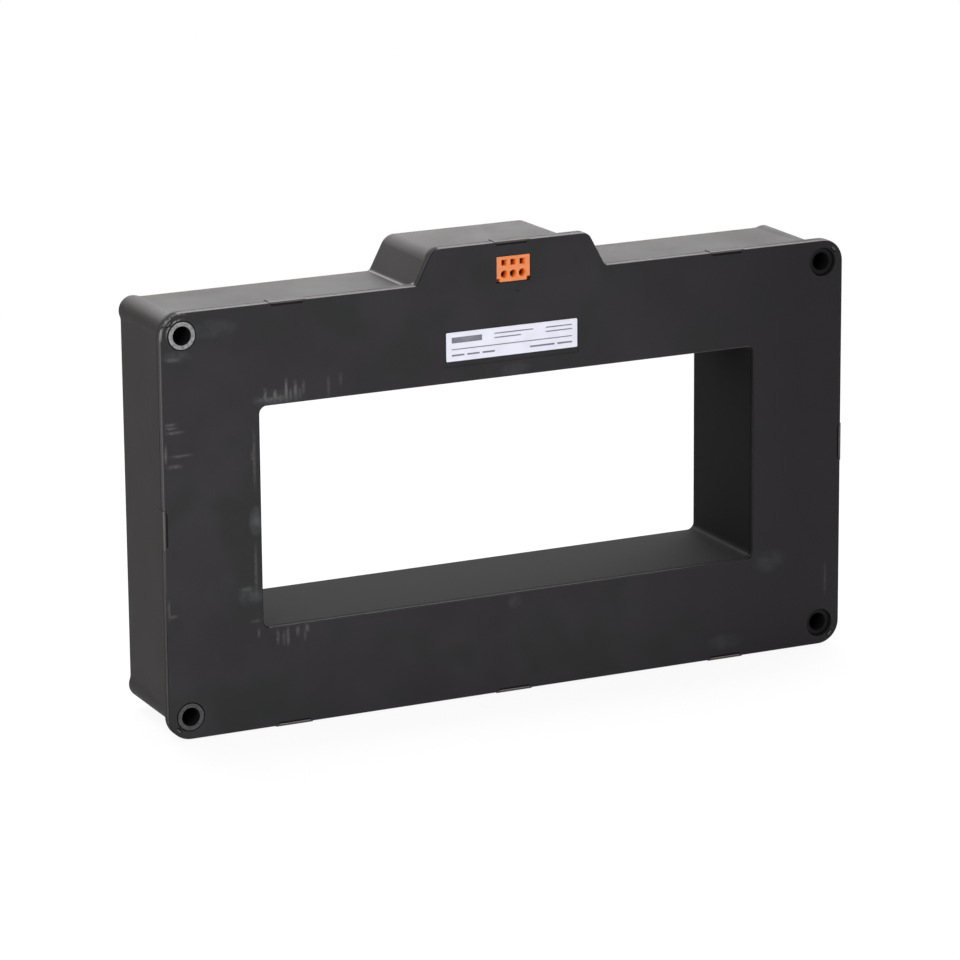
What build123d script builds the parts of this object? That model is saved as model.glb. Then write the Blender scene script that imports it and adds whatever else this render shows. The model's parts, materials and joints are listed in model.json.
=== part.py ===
from build123d import *
import os
from math import atan2, degrees, radians, sqrt, tan

# Rectangular current transformer for earth-leakage sensing: a flat ring-shaped case with a wide window
# for the busbars, a clipped-on front cover and a small tower that holds the clamp terminal.
# X runs across the front, Y runs from front to rear and Z is up. The origin is at the middle of the
# footprint, on the level where the part stands. Millimetres.

# Window and outer shape
WINDOW_W = 280.0        # clear width of the window
WINDOW_H = 115.0        # clear height of the window
WINDOW_R = 4.0          # corner radius of the window
BAND = 52.5             # from the window's edge to the cover's edge, the same on all sides
DEPTH = 66.0            # front face of the cover to rear face of the case
COVER_CORNER_R = 12.0   # corners of the cover and flange
TOWER_BASE_W = 106.0    # tower width where its flanks meet the cover's top edge
TOWER_TOP_W = 87.0      # tower width at its top edge
TOWER_RISE = 18.0       # tower height above the cover's top edge
COVER_CROWN_R = 6.5     # rounded top corners of the tower, on the cover
COVER_ROOT_R = 2.5      # hollow corners at the tower's foot, on the cover

# Walls
COVER_T = 3.0
FLANGE_T = 3.0          # case flange behind the cover
WALL = 2.5              # case walls, tunnel and rear wall
OVERHANG = 4.2          # flange edge to case wall, just behind the flange
DRAFT = 1.1             # lean of the case walls, degrees
CASE_INSIDE_R = 4.5     # inside corners of the case
CASE_CROWN_R = 8.0      # tower's top corners, on the case
CASE_ROOT_R = 2.5       # hollow corners at the tower's foot, on the case
COVER_EDGE_R = 0.7      # softened front edges of the cover
FLANGE_EDGE_R = 0.5     # softened rear edge of the flange
REAR_EDGE_R = 0.8       # softened rear edge of the case
JOINT_GAP = 0.5         # shadow gap where the cover meets the case, wide and deep

# Corner holes and bushes
HOLE_INSET = 11.8       # hole axis to the cover's edges
BORE_R = 4.9            # bolt hole
COLLAR_R = 7.0          # bush collar seen in the cover
SPIGOT_R = 5.6          # bush body in the case
SPIGOT_L = 12.0         # bush body length behind its collar
BUSH_SINK = 2.0         # how much deeper the right-hand bushes sit
COLLAR_GAP = 0.6        # cover hole around the collar
FIT_GAP = 0.1           # bush in its seat
BOSS_WALL = 1.0         # case material around the bush body
COLUMN_PROUD_FRONT = 0.15   # round corner columns of the case, proud of its walls behind the flange
COLUMN_PROUD_REAR = 1.0     # the same at the rear
COLUMN_BLEND_R = 8.0    # hollow blend from a column into the walls
SEAT_WALL = 1.2         # case wall around the collar's seat
KEY_L = 3.8             # small slot beyond each corner hole
KEY_W = 1.8
KEY_OFFSET = 9.0        # hole axis to the middle of the slot
TAB_L = 3.0             # case tab that stands in the slot
TAB_W = 1.0
TAB_SINK = 0.15         # tab end below the cover's face

# Snap hooks
HOOK_W = 20.0
HOOK_INSET = 68.5       # hook middle to the cover's side edge
HOOK_PROUD = 0.4        # hook face beyond the cover's edge
HOOK_ROOT = 0.6         # hook bar inside the cover's edge
HOOK_BITE = 0.3         # nose over the cover's ledge
HOOK_SINK = 0.1         # hook end below the cover's face
NOSE_T = 1.1
NOSE_INSET = 1.5        # nose ends from the bar's ends
NOSE_CHAMFER = 0.2      # inner front edge of the nose
HOOK_CHAMFER = 0.4      # outer front edge of the hook
HOOK_GAP = 0.12         # cover notch around the hook
SLOT_W = 1.1            # open slot between the nose and the cover

# Terminal
POLES = 3
POLE_PITCH = 5.08
FACE_W = 18.6           # terminal face seen in the cover
FACE_H = 13.1
TERMINAL_SIDE = 0.9     # terminal to the right of the middle
TERMINAL_DROP = 14.5    # tower top to the middle of the terminal face
TERMINAL_SINK = 0.2     # terminal face behind the cover's face
TERMINAL_GAP = 0.4      # cover opening around the terminal face
BASE_MARGIN = 2.0       # terminal shoulders behind the cover, on both sides
BASE_DROP = 3.0         # terminal shoulder behind the cover, below
BASE_L = 12.0           # terminal body behind the cover
FACE_T = 4.0            # front wall of the terminal body, pierced by the holes
TOOL_HOLE = 3.1         # square tool hole
TOOL_RISE = 3.3         # tool holes above the face's middle
WIRE_HOLE_R = 1.95      # round wire entry
WIRE_DROP = 2.6         # wire entries below the face's middle
CHAMBER_W = 4.2
CHAMBER_TOP = 5.3       # chamber roof above the face's middle
FOOT_NOTCH = 1.8        # notches in the two lower corners of the terminal face
MARK_L = 2.6            # short moulded dash below the terminal
MARK_W = 0.6
MARK_DEPTH = 0.3
MARK_DROP = 5.2         # terminal face to the dash
MARK_SIDE = 2.2         # dash to the right of the terminal's middle

# Clamps inside the terminal
CLAMP_W = 3.4
BAR_T = 0.8
BAR_GAP = 0.15          # wire entry to contact bar
PIN_W = 1.0
PIN_BEHIND = 1.6        # pin end behind the board
PIN_GAP = 0.2
SPRING_T = 0.4
SPRING_BEND_R = 1.4
SPRING_TIP_GAP = 0.5    # spring tip to contact bar
SPRING_INSET = 1.5      # spring ends from the chamber's front and from the board

# Terminal board
BOARD_W = 34.0
BOARD_T = 1.6
BOARD_TOP_DROP = 0.6    # board top below the terminal body's top
BOARD_FOOT = 2.0        # board bottom below the terminal body
BOARD_RIB_T = 3.0
BOARD_RIB_INSET = 1.5   # ribs in from the board's side edges

# Label
LABEL_W = 74.0
LABEL_H = 15.0
LABEL_T = 0.25
LABEL_R = 0.6
LABEL_RISE = 18.7       # window's top edge to the label's middle
LABEL_RECESS = 0.35
LABEL_SIDE_GAP = 0.8
LABEL_FOOT_GAP = 3.0    # bare part of the recess below the label
LABEL_TOP_GAP = 0.4

# Core, core box, winding and wires
CORE_T = 10.0           # build of the strip, across the frame
CORE_D = 26.0           # strip width, front to rear
CORE_BEND_R = 17.0      # middle line of the strip at the corners
TRAY_T = 1.0
TRAY_GAP = 0.2          # core in its tray
COIL_T = 2.5
COIL_R = 2.0            # rounded outside edges of the winding
COIL_MARGIN = 22.0      # winding end to where the core starts to bend
WIRE_R = 0.8
WIRE_BEND_R = 16.0      # wires around the core's corners
LEAD_BEND_R = 6.0       # wires at the terminal board
LEAD_RISE = 1.0         # lead above the top winding
LEAD_FOOT = 1.2         # lead ends above the board's bottom edge

# Core supports
PAD_W = 18.0
RIB_T = 3.0
RIB_L = 22.0            # support ribs along and across the core's corner
RIB_TIP = 6.0           # rib ends that stand beside the core box
RIB_TIP_T = 3.0
RIB_GAP = 0.4

# Values that follow from those above
COVER_W = WINDOW_W + 2 * BAND
COVER_H = WINDOW_H + 2 * BAND
TOWER_TOP = COVER_H / 2 + TOWER_RISE
FLANGE_BACK = COVER_T + FLANGE_T
REAR_INNER = DEPTH - WALL
FRONT_Y = -DEPTH / 2
AXIS_Z = COVER_H / 2 + HOOK_PROUD
HOLE_X = COVER_W / 2 - HOLE_INSET
HOLE_Z = COVER_H / 2 - HOLE_INSET
FLANK_LEAN = (TOWER_BASE_W - TOWER_TOP_W) / 2 / TOWER_RISE
CORNERS = {"top_left": (-1, 1), "top_right": (1, 1), "bottom_left": (-1, -1), "bottom_right": (1, -1)}
NEAR = 0.001            # tolerance for finding a corner by its place

TERMINAL_Z = TOWER_TOP - TERMINAL_DROP
BASE_BACK = COVER_T + BASE_L
BASE_TOP = TERMINAL_Z + FACE_H / 2
BASE_BOTTOM = TERMINAL_Z - FACE_H / 2 - BASE_DROP
CHAMBER_FRONT = TERMINAL_SINK + FACE_T
BAR_TOP = TERMINAL_Z - WIRE_DROP - WIRE_HOLE_R - BAR_GAP
CHAMBER_FLOOR = BAR_TOP - BAR_T
CHAMBER_ROOF = TERMINAL_Z + CHAMBER_TOP
BOARD_BACK = BASE_BACK + BOARD_T
BOARD_TOP = BASE_TOP - BOARD_TOP_DROP
BOARD_BOTTOM = BASE_BOTTOM - BOARD_FOOT

LABEL_Z = WINDOW_H / 2 + LABEL_RISE

CORE_MID = (COVER_T + REAR_INNER) / 2
BOX_HALF_T = CORE_T / 2 + TRAY_GAP + TRAY_T
BOX_FRONT = CORE_MID - CORE_D / 2 - TRAY_T
BOX_BACK = CORE_MID + CORE_D / 2 + TRAY_T


def wall_inset(depth):
    """Distance of the case wall's outside from the cover's edge at a depth behind the front face."""
    return OVERHANG + (depth - FLANGE_BACK) * tan(radians(DRAFT))


CAVITY_MID = (BAND - wall_inset(CORE_MID)) / 2      # window's edge to the middle of the hollow
CORE_HALF_W = WINDOW_W / 2 + CAVITY_MID
CORE_HALF_H = WINDOW_H / 2 + CAVITY_MID
COIL_OUT = BOX_HALF_T + COIL_T
COIL_LONG = 2 * (CORE_HALF_W - CORE_BEND_R - COIL_MARGIN)
COIL_SHORT = 2 * (CORE_HALF_H - CORE_BEND_R - COIL_MARGIN)


def at_depth(depth):
    """Plane parallel to the front, centred on the window, with its normal towards the viewer."""
    return Plane(origin=(0, FRONT_Y + depth, AXIS_Z), x_dir=(1, 0, 0), z_dir=(0, -1, 0))


def slab(profile, front, back):
    """Solid of a front-view profile between two depths behind the front face."""
    return extrude(at_depth(back) * profile, amount=back - front)


def disc(x, z, radius):
    return Pos(x, z) * Circle(radius)


def block(x, z, width, height):
    return Pos(x, z) * Rectangle(width, height)


def point(x, z, depth):
    """Point given across, up from the window's middle, and back from the front face."""
    return (x, FRONT_Y + depth, AXIS_Z + z)


def soften(profile, x, z, radius):
    """Rounds the corners of a profile that lie at plus or minus x and z."""
    found = [v for v in profile.vertices() if abs(abs(v.X) - x) < NEAR and abs(abs(v.Y) - z) < NEAR]
    return fillet(found, radius)


def outline(inset, corner_r, crown_r, root_r):
    """Front view of the case with its tower, drawn a distance inside the cover's edge."""
    half_w = COVER_W / 2 - inset
    half_h = COVER_H / 2 - inset
    flank = TOWER_BASE_W / 2 - inset * sqrt(1 + FLANK_LEAN ** 2)
    root_x = flank + FLANK_LEAN * inset
    crown_x = flank - FLANK_LEAN * (TOWER_RISE - inset)
    crown_z = TOWER_TOP - inset
    right = [(half_w, -half_h), (half_w, half_h), (root_x, half_h), (crown_x, crown_z)]
    left = [(-x, z) for x, z in reversed(right)]
    profile = make_face(Polyline(*right, *left, close=True))
    profile = soften(profile, crown_x, crown_z, crown_r)
    profile = soften(profile, root_x, half_h, root_r)
    return soften(profile, half_w, half_h, corner_r)


def cover_outline():
    return outline(0, COVER_CORNER_R, COVER_CROWN_R, COVER_ROOT_R)


def column_proud(depth):
    """How far the corner columns stand out of the case walls at a depth."""
    share = (depth - FLANGE_BACK) / (DEPTH - FLANGE_BACK)
    return COLUMN_PROUD_FRONT + (COLUMN_PROUD_REAR - COLUMN_PROUD_FRONT) * share


def wall_outside(depth):
    """Case section at a depth, with a round column at each corner that blends into the straight walls."""
    reach = HOLE_INSET - wall_inset(depth)
    profile = outline(wall_inset(depth), reach, CASE_CROWN_R, CASE_ROOT_R)
    radius = reach + column_proud(depth)
    for x, z in hole_spots():
        profile += disc(x, z, radius)
    chord = sqrt(radius ** 2 - reach ** 2)
    profile = soften(profile, HOLE_X - chord, HOLE_Z + reach, COLUMN_BLEND_R)
    return soften(profile, HOLE_X + reach, HOLE_Z - chord, COLUMN_BLEND_R)


def wall_inside(depth):
    """Hollow of the case at a depth."""
    return outline(wall_inset(depth) + WALL, CASE_INSIDE_R, CASE_CROWN_R - WALL, CASE_ROOT_R + WALL)


def tapered(front, back, section):
    """Solid between two depths of a section that changes evenly with the depth."""
    return loft([at_depth(depth) * section(depth) for depth in (front, back)], ruled=True)


def window_profile(margin=0):
    return RectangleRounded(WINDOW_W + 2 * margin, WINDOW_H + 2 * margin, WINDOW_R + margin)


def hole_spots():
    return [(sx * HOLE_X, sz * HOLE_Z) for sx, sz in CORNERS.values()]


def bush_sink(side):
    """The right-hand bushes sit deeper than the left-hand ones."""
    return BUSH_SINK if side > 0 else 0


# Snap hooks of the case and the notches they need in the cover

def hook_planes():
    """A plane at each hook: X along the cover's edge, Y out of it, Z towards the viewer."""
    edge_x = COVER_W / 2 - HOOK_INSET
    top = [(x, COVER_H / 2) for x in (-edge_x, edge_x)] + [(0, TOWER_TOP)]
    bottom = [(x, -COVER_H / 2) for x in (-edge_x, 0, edge_x)]
    spots = [(x, z, (1, 0, 0)) for x, z in top]
    spots += [(x, z, (-1, 0, 0)) for x, z in bottom]
    spots += [(COVER_W / 2, 0, (0, 0, -1)), (-COVER_W / 2, 0, (0, 0, 1))]
    return [Plane(origin=point(x, z, 0), x_dir=along, z_dir=(0, -1, 0)) for x, z, along in spots]


def along_edge(points, width):
    """Solid of a profile in the edge's Y and Z, as wide as stated along the edge."""
    across = Plane(origin=(-width / 2, 0, 0), x_dir=(0, 1, 0), z_dir=(1, 0, 0))
    return extrude(across * make_face(Polyline(*points, close=True)), amount=width)


def snap_hook():
    inner = -HOOK_ROOT
    tip = inner - HOOK_BITE
    end = -HOOK_SINK
    bar = [
        (HOOK_PROUD, -FLANGE_BACK),
        (HOOK_PROUD, end - HOOK_CHAMFER),
        (HOOK_PROUD - HOOK_CHAMFER, end),
        (inner, end),
        (inner, -FLANGE_BACK),
    ]
    nose = [
        (inner, end),
        (tip + NOSE_CHAMFER, end),
        (tip, end - NOSE_CHAMFER),
        (tip, end - NOSE_T),
        (inner, end - NOSE_T),
    ]
    return along_edge(bar, HOOK_W) + along_edge(nose, HOOK_W - 2 * NOSE_INSET)


def hook_notch():
    """Room for the hook's bar through the cover, and the sunk ledge that its nose holds."""
    inner = -HOOK_ROOT - HOOK_GAP
    ledge_in = -HOOK_ROOT - HOOK_BITE - SLOT_W
    ledge_z = -HOOK_SINK - NOSE_T - HOOK_GAP
    beyond = HOOK_PROUD + COVER_T
    gap = [(beyond, -2 * COVER_T), (beyond, COVER_T), (inner, COVER_T), (inner, -2 * COVER_T)]
    ledge = [(beyond, ledge_z), (beyond, COVER_T), (ledge_in, COVER_T), (ledge_in, ledge_z)]
    wide = HOOK_W + 2 * HOOK_GAP
    return along_edge(gap, wide) + along_edge(ledge, wide - 2 * NOSE_INSET)


def corner_slot(sx, sz, length, width, shift=0):
    """Small bar across the diagonal outside a corner hole."""
    turn = degrees(atan2(sz, sx))
    return Pos(sx * HOLE_X, sz * HOLE_Z) * Rot(0, 0, turn) * block(KEY_OFFSET + shift, 0, width, length)


# Front cover

def front_cover():
    plate = slab(cover_outline() - window_profile(), 0, COVER_T)
    plate = fillet(plate.faces().sort_by(Axis.Y)[0].edges(), COVER_EDGE_R)
    for x, z in hole_spots():
        plate -= slab(disc(x, z, COLLAR_R + COLLAR_GAP), -COVER_T, 2 * COVER_T)
    for sx, sz in CORNERS.values():
        plate -= slab(corner_slot(sx, sz, KEY_L, KEY_W), -COVER_T, 2 * COVER_T)
    for plane in hook_planes():
        plate -= plane * hook_notch()
    opening = block(TERMINAL_SIDE, TERMINAL_Z, FACE_W + 2 * TERMINAL_GAP, FACE_H + 2 * TERMINAL_GAP)
    plate -= slab(opening, -COVER_T, 2 * COVER_T)
    recess_h = LABEL_H + LABEL_TOP_GAP + LABEL_FOOT_GAP
    recess_z = LABEL_Z + (LABEL_TOP_GAP - LABEL_FOOT_GAP) / 2
    plate -= slab(block(0, recess_z, LABEL_W + 2 * LABEL_SIDE_GAP, recess_h), -COVER_T, LABEL_RECESS)
    mark_z = TERMINAL_Z - FACE_H / 2 - MARK_DROP
    plate -= slab(block(TERMINAL_SIDE + MARK_SIDE, mark_z, MARK_L, MARK_W), -COVER_T, MARK_DEPTH)
    return plate


def rating_label():
    face = Pos(0, LABEL_Z) * RectangleRounded(LABEL_W, LABEL_H, LABEL_R)
    return slab(face, LABEL_RECESS - LABEL_T, LABEL_RECESS)


# Rear case

def case_hull():
    """Flange and leaning body as one full solid."""
    flange = slab(cover_outline(), COVER_T + JOINT_GAP, FLANGE_BACK)
    flange = fillet(flange.faces().sort_by(Axis.Y)[-1].edges(), FLANGE_EDGE_R)
    radii = (COVER_CORNER_R - JOINT_GAP, COVER_CROWN_R - JOINT_GAP, COVER_ROOT_R + JOINT_GAP)
    lip = slab(outline(JOINT_GAP, *radii), COVER_T, COVER_T + JOINT_GAP)
    body = tapered(FLANGE_BACK, DEPTH, wall_outside)
    body = fillet(body.faces().sort_by(Axis.Y)[-1].edges(), REAR_EDGE_R)
    return flange + lip + body


def core_support(sx, sz):
    """Crossed ribs under one corner of the core box, with ends that stand beside it."""
    bend_x = sx * (CORE_HALF_W - CORE_BEND_R)
    bend_z = sz * (CORE_HALF_H - CORE_BEND_R)
    place = Pos(bend_x, bend_z) * Rot(0, 0, degrees(atan2(sz, sx)))
    crossed = block(CORE_BEND_R, 0, RIB_L, RIB_T) + block(CORE_BEND_R, 0, RIB_T, RIB_L)
    support = slab(place * crossed, BOX_BACK, REAR_INNER)
    for side in (-1, 1):
        tip_at = CORE_BEND_R + side * (BOX_HALF_T + RIB_GAP + RIB_TIP_T / 2)
        support += slab(place * block(tip_at, 0, RIB_TIP_T, RIB_T), BOX_BACK - RIB_TIP, REAR_INNER)
    return support


def board_rib(side):
    """Rib along the tower that carries one side of the terminal board."""
    x = TERMINAL_SIDE + side * (BOARD_W / 2 - BOARD_RIB_INSET - BOARD_RIB_T / 2)
    height = TOWER_TOP - BOARD_BOTTOM
    return slab(block(x, BOARD_BOTTOM + height / 2, BOARD_RIB_T, height), BOARD_BACK, DEPTH)


def rear_case():
    hull = case_hull()
    case = hull - tapered(COVER_T, REAR_INNER, wall_inside)
    case += slab(window_profile(WALL), COVER_T, DEPTH)
    for x, z in hole_spots():
        case += slab(disc(x, z, SPIGOT_R + FIT_GAP + BOSS_WALL), COVER_T, DEPTH)
        case += slab(disc(x, z, COLLAR_R + FIT_GAP + SEAT_WALL), COVER_T, FLANGE_BACK)
    for sx, sz in CORNERS.values():
        case += core_support(sx, sz)
        tab = corner_slot(sx, sz, TAB_L, TAB_W, (KEY_W - TAB_W) / 2 - FIT_GAP)
        case += slab(tab, TAB_SINK, FLANGE_BACK)
    for side in (-1, 1):
        case += board_rib(side) & hull
    for plane in hook_planes():
        case += plane * snap_hook()
    for x, z in hole_spots():
        seat = COVER_T + bush_sink(x)
        case -= slab(disc(x, z, COLLAR_R + FIT_GAP), 0, seat)
        case -= slab(disc(x, z, SPIGOT_R + FIT_GAP), 0, seat + SPIGOT_L + FIT_GAP)
        case -= slab(disc(x, z, BORE_R), 0, DEPTH)
    case -= slab(window_profile(JOINT_GAP), COVER_T, COVER_T + JOINT_GAP)
    return case - slab(window_profile(), 0, DEPTH)


# Corner bushes

def mounting_bush(sx, sz):
    x, z = sx * HOLE_X, sz * HOLE_Z
    front = bush_sink(sx)
    collar_back = front + COVER_T
    bush = slab(disc(x, z, COLLAR_R), front, collar_back)
    bush += slab(disc(x, z, SPIGOT_R), collar_back, collar_back + SPIGOT_L)
    return bush - slab(disc(x, z, BORE_R), front, collar_back + SPIGOT_L)


# Clamp terminal

def pole_places():
    return [TERMINAL_SIDE + (n - (POLES - 1) / 2) * POLE_PITCH for n in range(POLES)]


def terminal_housing():
    housing = slab(block(TERMINAL_SIDE, TERMINAL_Z, FACE_W, FACE_H), TERMINAL_SINK, COVER_T)
    base_h = BASE_TOP - BASE_BOTTOM
    base = block(TERMINAL_SIDE, BASE_BOTTOM + base_h / 2, FACE_W + 2 * BASE_MARGIN, base_h)
    housing += slab(base, COVER_T, BASE_BACK)
    for side in (-1, 1):
        corner_x = TERMINAL_SIDE + side * FACE_W / 2
        notch = block(corner_x, TERMINAL_Z - FACE_H / 2, 2 * FOOT_NOTCH, 2 * FOOT_NOTCH)
        housing -= slab(notch, 0, COVER_T)
    chamber_h = CHAMBER_ROOF - CHAMBER_FLOOR
    for x in pole_places():
        tool = block(x, TERMINAL_Z + TOOL_RISE, TOOL_HOLE, TOOL_HOLE)
        wire = disc(x, TERMINAL_Z - WIRE_DROP, WIRE_HOLE_R)
        housing -= slab(tool, 0, CHAMBER_FRONT) + slab(wire, 0, CHAMBER_FRONT)
        chamber = block(x, CHAMBER_FLOOR + chamber_h / 2, CHAMBER_W, chamber_h)
        housing -= slab(chamber, CHAMBER_FRONT, BASE_BACK)
    return housing


def contact_bar(x):
    """Bar on the chamber's floor under the wire, with a pin through the board."""
    middle = BAR_TOP - BAR_T / 2
    bar = slab(block(x, middle, CLAMP_W, BAR_T), CHAMBER_FRONT + SPRING_INSET, BASE_BACK)
    return bar + slab(block(x, middle, PIN_W, BAR_T), BASE_BACK, BOARD_BACK + PIN_BEHIND)


def clamp_spring(x):
    """Hairpin leaf: its back lies on the chamber's roof and its tip presses the wire on the bar."""
    front = CHAMBER_FRONT + SPRING_INSET
    back = BASE_BACK - SPRING_INSET
    roof = CHAMBER_ROOF - SPRING_T / 2
    middle = TERMINAL_Z - WIRE_DROP + WIRE_HOLE_R
    tip = BAR_TOP + SPRING_TIP_GAP + SPRING_T
    corners = [(front, roof), (back, roof), (back, middle), (front, tip)]
    path = FilletPolyline(*[point(x, z, depth) for depth, z in corners], radius=SPRING_BEND_R)
    start = Plane(origin=point(x, roof, front), x_dir=(1, 0, 0), z_dir=(0, 1, 0))
    return sweep(start * Rectangle(CLAMP_W, SPRING_T), path=path)


def terminal_board():
    height = BOARD_TOP - BOARD_BOTTOM
    board = block(TERMINAL_SIDE, BOARD_BOTTOM + height / 2, BOARD_W, height)
    for x in pole_places():
        board -= block(x, BAR_TOP - BAR_T / 2, PIN_W + 2 * PIN_GAP, BAR_T + 2 * PIN_GAP)
    return slab(board, BASE_BACK, BOARD_BACK)


# Core, its box, winding and wires

def core_frame(half_thickness):
    """Rounded rectangular band about the core's middle line."""
    outer = half_thickness
    inner = -half_thickness
    shapes = [
        RectangleRounded(2 * (CORE_HALF_W + side), 2 * (CORE_HALF_H + side), CORE_BEND_R + side)
        for side in (outer, inner)
    ]
    return shapes[0] - shapes[1]


def magnetic_core():
    return slab(core_frame(CORE_T / 2), CORE_MID - CORE_D / 2, CORE_MID + CORE_D / 2)


def core_tray():
    tray = slab(core_frame(BOX_HALF_T), BOX_FRONT + TRAY_T, BOX_BACK)
    return tray - slab(core_frame(CORE_T / 2 + TRAY_GAP), BOX_FRONT, BOX_BACK - TRAY_T)


def core_lid():
    return slab(core_frame(BOX_HALF_T), BOX_FRONT, BOX_FRONT + TRAY_T)


def winding(x, z, length, upright):
    """Winding section around one leg of the core box, lying along X or standing along Z."""
    box_d = BOX_BACK - BOX_FRONT
    section = RectangleRounded(2 * COIL_OUT, box_d + 2 * COIL_T, COIL_R) - Rectangle(2 * BOX_HALF_T, box_d)
    leg = (0, 0, 1) if upright else (1, 0, 0)
    across = (1, 0, 0) if upright else (0, 0, 1)
    middle = Vector(*point(x, z, CORE_MID))
    start = Plane(origin=middle - Vector(*leg) * (length / 2), x_dir=across, z_dir=leg)
    return extrude(start * section, amount=length)


def wire(points, radius):
    """Round wire along straight runs joined by arcs."""
    path = FilletPolyline(*points, radius=radius)
    return sweep((path ^ 0) * Circle(WIRE_R), path=path)


def wire_line():
    """Distance from the core's middle line to the wires that leave the winding's ends."""
    return BOX_HALF_T + COIL_T / 2


def winding_link(sx, sz):
    """Wire around one corner, from the end of one winding section to the start of the next."""
    x = sx * (CORE_HALF_W + wire_line())
    z = sz * (CORE_HALF_H + wire_line())
    run = [(sx * COIL_LONG / 2, z), (x, z), (x, sz * COIL_SHORT / 2)]
    return wire([point(px, pz, CORE_MID) for px, pz in run], WIRE_BEND_R)


def lead_level():
    return BOARD_BOTTOM + LEAD_FOOT + WIRE_R


def lead_start():
    """Wire from the top winding's outside straight up to the board."""
    x = pole_places()[-1]
    coil_top = CORE_HALF_H + COIL_OUT
    run = [(coil_top, CORE_MID), (lead_level(), CORE_MID), (lead_level(), BOARD_BACK)]
    return wire([point(x, z, depth) for z, depth in run], LEAD_BEND_R)


def lead_finish():
    """Wire from the left winding's top end, around the corner and along the top to the board."""
    x = pole_places()[0]
    left = -CORE_HALF_W - wire_line()
    top = CORE_HALF_H + COIL_OUT + LEAD_RISE + WIRE_R
    run = [
        (left, COIL_SHORT / 2, CORE_MID),
        (left, top, CORE_MID),
        (x, top, CORE_MID),
        (x, lead_level(), CORE_MID),
        (x, lead_level(), BOARD_BACK),
    ]
    return wire([point(*spot) for spot in run], LEAD_BEND_R)


def core_pad(sx, sz):
    """Foam pad between the cover and one corner of the core box."""
    reach = CORE_BEND_R / sqrt(2)
    x = sx * (CORE_HALF_W - CORE_BEND_R + reach)
    z = sz * (CORE_HALF_H - CORE_BEND_R + reach)
    return slab(block(x, z, PAD_W, PAD_W), COVER_T, BOX_FRONT)


def build():
    nodes = {
        "rear_case": rear_case(),
        "front_cover": front_cover(),
        "rating_label": rating_label(),
        "terminal_housing": terminal_housing(),
        "terminal_board": terminal_board(),
        "magnetic_core": magnetic_core(),
        "core_tray": core_tray(),
        "core_lid": core_lid(),
        "winding_top": winding(0, CORE_HALF_H, COIL_LONG, False),
        "winding_bottom": winding(0, -CORE_HALF_H, COIL_LONG, False),
        "winding_left": winding(-CORE_HALF_W, 0, COIL_SHORT, True),
        "winding_right": winding(CORE_HALF_W, 0, COIL_SHORT, True),
        "lead_start": lead_start(),
        "lead_finish": lead_finish(),
    }
    for name, (sx, sz) in CORNERS.items():
        nodes[f"mounting_bush_{name}"] = mounting_bush(sx, sz)
        nodes[f"core_pad_{name}"] = core_pad(sx, sz)
        if name != "top_left":
            nodes[f"winding_link_{name}"] = winding_link(sx, sz)
    for number, x in enumerate(pole_places(), start=1):
        nodes[f"contact_bar_{number}"] = contact_bar(x)
        nodes[f"clamp_spring_{number}"] = clamp_spring(x)
    return nodes


os.makedirs("parts", exist_ok=True)
for node_name, shape in build().items():
    export_step(shape, f"parts/{node_name}.step")
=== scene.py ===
import json
import math

import bpy
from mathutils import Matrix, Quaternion, Vector


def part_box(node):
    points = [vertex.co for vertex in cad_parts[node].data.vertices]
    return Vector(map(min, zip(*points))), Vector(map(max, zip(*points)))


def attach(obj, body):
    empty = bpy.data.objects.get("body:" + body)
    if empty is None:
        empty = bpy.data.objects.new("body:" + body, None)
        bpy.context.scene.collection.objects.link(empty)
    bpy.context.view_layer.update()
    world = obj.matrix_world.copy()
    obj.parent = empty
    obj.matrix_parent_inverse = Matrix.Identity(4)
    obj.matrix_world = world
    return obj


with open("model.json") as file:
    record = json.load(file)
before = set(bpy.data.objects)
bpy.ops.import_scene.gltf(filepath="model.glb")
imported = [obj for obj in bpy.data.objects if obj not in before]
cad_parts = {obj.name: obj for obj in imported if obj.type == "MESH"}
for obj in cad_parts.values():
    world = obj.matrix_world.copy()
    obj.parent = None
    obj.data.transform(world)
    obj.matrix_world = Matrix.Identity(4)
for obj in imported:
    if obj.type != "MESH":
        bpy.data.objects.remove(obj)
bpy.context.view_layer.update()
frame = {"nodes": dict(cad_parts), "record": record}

# Rectangular current transformer in black moulded plastic, seen from the front left and a little above.
# Lengths are in metres, in the part's own frame: X right, Y to the rear, Z up. The rows of wear and print
# are in millimetres.

MM = 0.001
RECORD = frame["record"]


def named(rows, name):
    return next(row for row in rows if row["name"] == name)


# Places taken from the frame
BOLTS = named(RECORD["mounts"], "rear_bolts")
HOLE_ACROSS = BOLTS["dims"]["spacing_x_mm"] / 2 * MM
HOLE_UP = BOLTS["dims"]["spacing_y_mm"] / 2 * MM
BORE_R = BOLTS["dims"]["hole_r_mm"] * MM
AXIS_Z = BOLTS["pos_m"][2]
MIDDLE = {"X": 0.0, "Z": AXIS_Z}        # of the window
WINDOW_HIGH = Vector(named(RECORD["physics"]["openings"], "primary_window")["box_m"][1])
WINDOW_ACROSS = WINDOW_HIGH.x           # half of the stated opening
WINDOW_UP = WINDOW_HIGH.z - AXIS_Z
FRONT_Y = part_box("front_cover")[0].y
LABEL_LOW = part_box("rating_label")[0]

# Camera
CAMERA_AZIMUTH = math.radians(25.59)
CAMERA_ELEVATION = math.radians(15.0)
CAMERA_ROLL = math.radians(-0.47)
CAMERA_DISTANCE = 2.5
CAMERA_LENS = 183.1
CAMERA_SENSOR = 36.0
VIEW_AXIS = (0.0, 0.0, 1.0)
AIM_OFFSET = Vector((-15.2, 7.6, 2.7)) * MM     # from the window's middle in the plane of the front

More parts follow.
